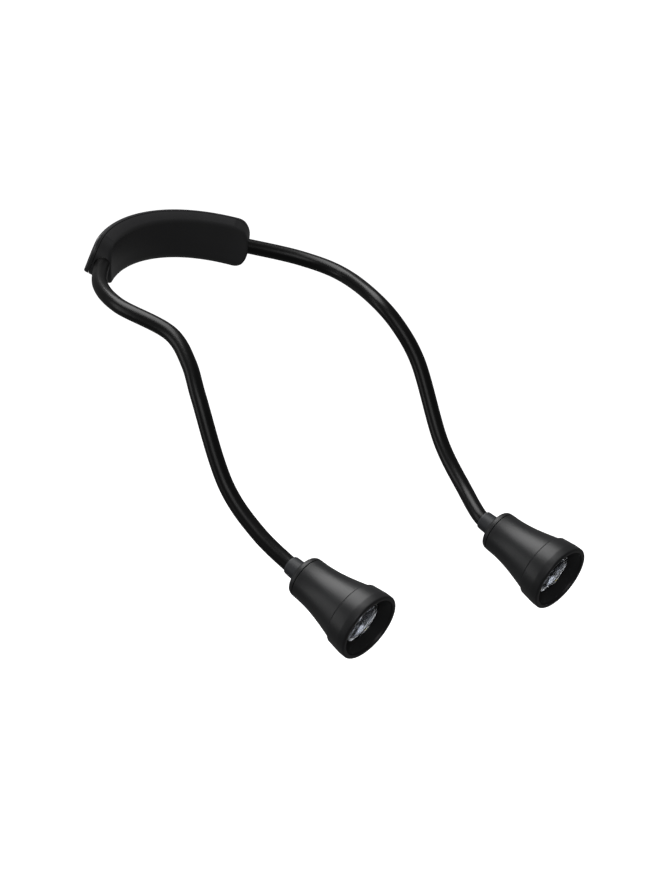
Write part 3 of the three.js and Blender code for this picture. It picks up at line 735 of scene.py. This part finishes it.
def buildSleeve(name, side):
    line, lengths = armLine(side)
    exitAt = nearest(line, lengths, armExit(side)[0])
    ferruleAt = nearest(line, lengths, headBack(side) - headAlong() * lamp["ferruleLength"])
    hinges = [exitAt + share * (ferruleAt - exitAt) for share in arm["hinges"]]
    cuts = [exitAt + lamp["anchorStart"] + lamp["gap"]]
    cuts += [(a + b) / 2 for a, b in zip(hinges, hinges[1:])]
    cuts += [ferruleAt + arm["intoFerrule"]]
    for i, hinge in enumerate(hinges):
        grid = tubeGrid(line, lengths, cuts[i], cuts[i + 1], lamp["sleeveRadius"], lamp["sleeveBore"], arm["around"])
        mesh = gridMesh(f"{name}_sleeve_span_{i + 1}", grid, ringed=True)
        made = piece(f"{name}_sleeve_span_{i + 1}", mesh, materials["sleeveRubber"])
        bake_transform(made)
        stands = [f"{name}_sleeve_{i + 1}"] + ([f"{name}_sleeve_6"] if i == 4 else [])
        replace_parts(made, *stands)


for name, side in sides.items():
    buildSleeve(name, side)
print("arm sleeves built")


# Heads

head = dict(
    capLength=3.2, capRadius=11.1, ridge=16.4, bezelBack=17.3, rim=18.5, lip=16.2, recess=6, lens=12,
    collar=4.3, wall=1.5, boardFront=28, around=128,
)


# Turned piece: a closed outline of distance along the head's axis and radius, carried round the axis.
# Swell multiplies the radius by 1 + height x cos(lobes x angle) in the rows where its weight is not 0
def turned(name, outline, side, open=False, swell=None):
    rows = np.asarray(outline, float)
    axis = headAlong()
    x = np.array([1.0, 0, 0]) - axis * axis[0]
    x /= np.linalg.norm(x)
    y = np.cross(axis, x)
    turn = np.linspace(0, 2 * math.pi, head["around"], endpoint=False)
    ring = x[None] * np.cos(turn)[:, None] + y[None] * np.sin(turn)[:, None]
    radius = np.repeat(rows[:, 1][:, None], len(turn), 1)
    if swell is not None:
        height, lobes, weight, shift = swell
        radius = radius * (1 + height * weight[:, None] * np.cos(lobes * (turn + shift))[None])
    grid = headBack(side) + rows[:, 0][:, None, None] * axis + radius[..., None] * ring[None]
    return gridMesh(name, grid, ringed=not open)


def addHead(name, part, mesh, material, slot, *stands, crease=32):
    made = piece(f"{name}_{part}", mesh, materials[material], crease)
    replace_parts(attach(made, f"{name}_head"), *[f"{name}_{stand}" for stand in stands])
    return made


def buildHead(name, side):
    cap, gap = head["capLength"], lamp["gap"]
    bodyEnd = lamp["headLength"] - lamp["bezelLength"]
    rear = -lamp["ferruleLength"]
    bore = lamp["sleeveRadius"] + 0.15
    ferrule = rounded([
        (rear, bore, 0.15), (rear, 4.75, 0.5), (rear + 0.9, 5.0, 0.6), (-1.0, 5.3, 0.5), (-gap, 5.45, 0.15),
        (-gap, head["collar"], 0.1), (cap + gap, head["collar"], 0.1), (cap + gap, 6.5, 0.2),
        (cap + 2.2, 6.5, 0.2), (cap + 2.2, 2.8, 0.1), (rear + 3, 3.1, 0.1), (rear + 3, bore, 0.1),
    ])
    addHead(name, "arm_ferrule", turned("ferrule", ferrule, side), "ferrulePlastic", "ferrule_plastic", "ferrule")

    ring = rounded([
        (0, head["collar"] + gap, 0.1), (0, 9.6, 1.2), (0.7, 10.5, 1.2), (1.8, 10.95, 1.0), (cap, 11.1, 0.22),
        (cap, head["collar"] + gap, 0.1),
    ])
    addHead(name, "rear_ring", turned("ring", ring, side), "headPlastic", "shell_plastic", "rear_cap")

    # Flare: radius = rear + (ridge - rear) x (1.25 t^2 - 0.25 t^4), t the share of the way forward
    t = np.linspace(0, 1, 40)[1:-1]
    first, last = cap + gap, bodyEnd - gap
    flare = np.stack([first + t * (last - first), 11.15 + (head["ridge"] - 11.15) * (1.25 * t ** 2 - 0.25 * t ** 4),
                      0 * t], -1)
    wall = head["wall"]
    inner = flare[::-3] - np.array([0, wall, 0])
    body = np.vstack([
        [(first, head["collar"] + 3.4, 0.1), (first, 11.15, 0.25)], flare,
        [(last, head["ridge"], 0.3), (last, head["ridge"] - wall, 0.1)], inner[1:-2],
        [(cap + 3, 11.1 - wall, 0.3), (cap + 3, head["collar"] + 3.4, 0.1)],
    ])
    addHead(name, "head_shell", turned("body", rounded(body), side), "headPlastic", "shell_plastic", "head_body")

    end, lensFront = lamp["headLength"], lamp["headLength"] - head["recess"]
    bezel = rounded([
        (bodyEnd, head["lens"] + 3, 0.2), (bodyEnd, head["bezelBack"], 0.45), (end - 4.5, head["rim"] - 0.12, 6),
        (end, head["rim"], 1.0), (end, head["lip"], 0.55), (end - 1.2, head["lip"] - 0.35, 0.5),
        (lensFront, head["lens"] + 0.3, 0.15), (lensFront - 1.2, head["lens"] + 0.3, 0.1),
        (lensFront - 1.2, head["lens"] + 1.8, 0.1), (bodyEnd + 1.5, head["lens"] + 3, 0.1),
    ])
    addHead(name, "front_bezel", turned("bezel", bezel, side), "headPlastic", "shell_plastic", "bezel")
    buildOptics(name, side, lensFront, bodyEnd)


# Lens, reflector bowl with four petals, board and LED dome
def buildOptics(name, side, lensFront, bodyEnd):
    board, lens = head["boardFront"], head["lens"]
    outline = rounded([
        (board + 3.4, 0, 0), (board + 1.4, 3.4, 0.4), (board + 1.2, 4.2, 0.3), (lensFront - 2.6, lens - 1.0, 0.3),
        (lensFront - 1.9, lens - 0.1, 0.3), (lensFront - 0.1, lens - 0.1, 0.45), (lensFront - 0.1, lens - 1.3, 0.3),
        (lensFront - 0.9, lens - 2.0, 0.4), (lensFront - 1.1, 5.5, 1.0), (lensFront - 0.7, 0, 0),
    ], closed=False)
    weight = np.clip((outline[:, 1] - (lens - 3.2)) / 1.6, 0, 1)
    mesh = turned("optic", outline, side, open=True, swell=(-0.022, 6, weight, 0.3))
    addHead(name, "clear_optic", mesh, "clearOptic", "lens_clear", "lens", crease=28)

    t = np.linspace(0, 1, 26)[1:-1]
    bowl = np.stack([board + 0.4 + 7.3 * t ** 1.25, 4.8 + (lens + 0.2 - 4.8) * t ** 0.8, 0 * t], -1)
    outline = rounded(np.vstack([
        [(board + 0.4, 6.6, 0.1), (board + 0.4, 4.8, 0.1)], bowl,
        [(lensFront - 1.8, lens + 0.3, 0.1), (lensFront - 1.8, lens + 1.4, 0.1), (bodyEnd + 1, lens + 2.4, 0.1)],
    ]))
    weight = np.clip((outline[:, 1] - 4.6) / 3, 0, 1) * np.clip((lens + 0.3 - outline[:, 1]) / 2.5, 0, 1)
    mesh = turned("reflector", outline, side, swell=(0.05, 4, weight, 0.5))
    addHead(name, "petal_reflector", mesh, "reflectorMetal", "reflector_bright", "reflector", crease=24)

    disc = rounded([(board - 1.6, 0, 0), (board - 1.6, 12.6, 0.2), (board, 12.6, 0.2), (board, 0, 0)], closed=False)
    addHead(name, "light_board", turned("disc", disc, side, open=True), "boardWhite", "board_white", "led_board")
    t = np.linspace(0, math.pi / 2, 12)
    dome = np.vstack([
        [(board + 0.05, 0, 0), (board + 0.05, 1.9, 0.05), (board + 0.55, 1.9, 0.1), (board + 0.55, 1.45, 0.05)],
        np.stack([board + 0.55 + 0.65 * np.sin(t), 1.35 * np.cos(t), 0 * t], -1),
    ])
    addHead(name, "light_dome", turned("dome", rounded(dome, closed=False), side, open=True),
            "ledPhosphor", "led_phosphor", "led")


for name, side in sides.items():
    buildHead(name, side)
print("heads built")


# Hidden works keep their CAD shape
hidden = {
    "charge_board": "boardGreen", "driver_board": "boardGreen", "charge_socket": "screwSteel",
    "cell": "cellFoil", "switch": "switchPlastic", "arm_anchor": "coreSteel", "core": "coreSteel",
}
for label, node in nodes.items():
    bare = label.replace("right_", "").replace("left_", "").rstrip("_0123456789")
    if bare in hidden:
        node.data.materials.clear()
        node.data.materials.append(materials[hidden[bare]])
print("hidden works finished")


# Floor, light and camera

studio = dict(
    floorDrop=0.30, floorHalf=40.0, floorGlow=0.93, floorTone=0.5,
    ambient=0.16,
    azimuth=-45.82, elevation=10.38, target=(0.0, -0.128, -0.0886), distance=1.8816,
    focalShare=1.975, longSide=871,
    # place, size, power in watts, each turned to the target
    lights=dict(
        above=((-0.15, 0.25, 1.30), (1.3, 0.9), 26.0),
        front=((-1.5, -1.1, 0.75), (1.0, 1.0), 9.0),
        left=((-1.4, 0.9, 0.2), (0.5, 1.2), 5.0),
    ),
)


def buildFloor():
    drop, half = cadLow[2] - studio["floorDrop"], studio["floorHalf"]
    mesh = bpy.data.meshes.new("studio_floor")
    mesh.from_pydata([(-half, -half, drop), (half, -half, drop), (half, half, drop), (-half, half, drop)],
                     [], [(0, 1, 2, 3)])
    material = bpy.data.materials.new("floorWhite")
    material.use_nodes = True
    tree = material.node_tree
    shader = tree.nodes["Principled BSDF"]
    place = tree.nodes.new("ShaderNodeTexCoord").outputs["Object"]
    tone = noiseNode(tree, place, 3.0, 2.0)
    color = colorMix(tree, tone, (0.90, 0.90, 0.90), (0.93, 0.93, 0.93))
    link(tree, color, shader.inputs["Base Color"])
    shader.inputs["Roughness"].default_value = 0.9
    shader.inputs["Specular IOR Level"].default_value = 0.0
    shader.inputs["Emission Color"].default_value = (1, 1, 1, 1)
    shader.inputs["Emission Strength"].default_value = studio["floorGlow"]
    mesh.materials.append(material)
    floor = bpy.data.objects.new("studio_floor", mesh)
    bpy.context.scene.collection.objects.link(floor)
    floor.visible_glossy = False
    floor.visible_diffuse = False


def buildLights():
    target = Vector(studio["target"])
    for name, (place, size, power) in studio["lights"].items():
        light = bpy.data.lights.new(name, "AREA")
        light.shape = "RECTANGLE"
        light.size, light.size_y = size
        light.energy = power
        lightObject = bpy.data.objects.new(name, light)
        lightObject.location = place
        lightObject.rotation_euler = (target - Vector(place)).to_track_quat("-Z", "Y").to_euler()
        bpy.context.scene.collection.objects.link(lightObject)
    world = bpy.data.worlds.new("studio")
    world.use_nodes = True
    world.node_tree.nodes["Background"].inputs["Color"].default_value = (1, 1, 1, 1)
    world.node_tree.nodes["Background"].inputs["Strength"].default_value = studio["ambient"]
    bpy.context.scene.world = world


def buildCamera():
    azimuth, elevation = math.radians(studio["azimuth"]), math.radians(studio["elevation"])
    back = Vector((math.sin(azimuth) * math.cos(elevation), -math.cos(azimuth) * math.cos(elevation),
                   math.sin(elevation)))
    camera = bpy.data.cameras.new("camera")
    camera.sensor_width = 36
    camera.lens = 36 * studio["focalShare"] * studio["distance"] * 1000 / studio["longSide"]
    cameraObject = bpy.data.objects.new("camera", camera)
    cameraObject.location = Vector(studio["target"]) + back * studio["distance"]
    cameraObject.rotation_euler = back.to_track_quat("Z", "Y").to_euler()
    bpy.context.scene.collection.objects.link(cameraObject)
    bpy.context.scene.camera = cameraObject


buildFloor()
buildLights()
buildCamera()
bpy.context.scene.view_settings.view_transform = "Standard"
print("floor, light and camera ready")
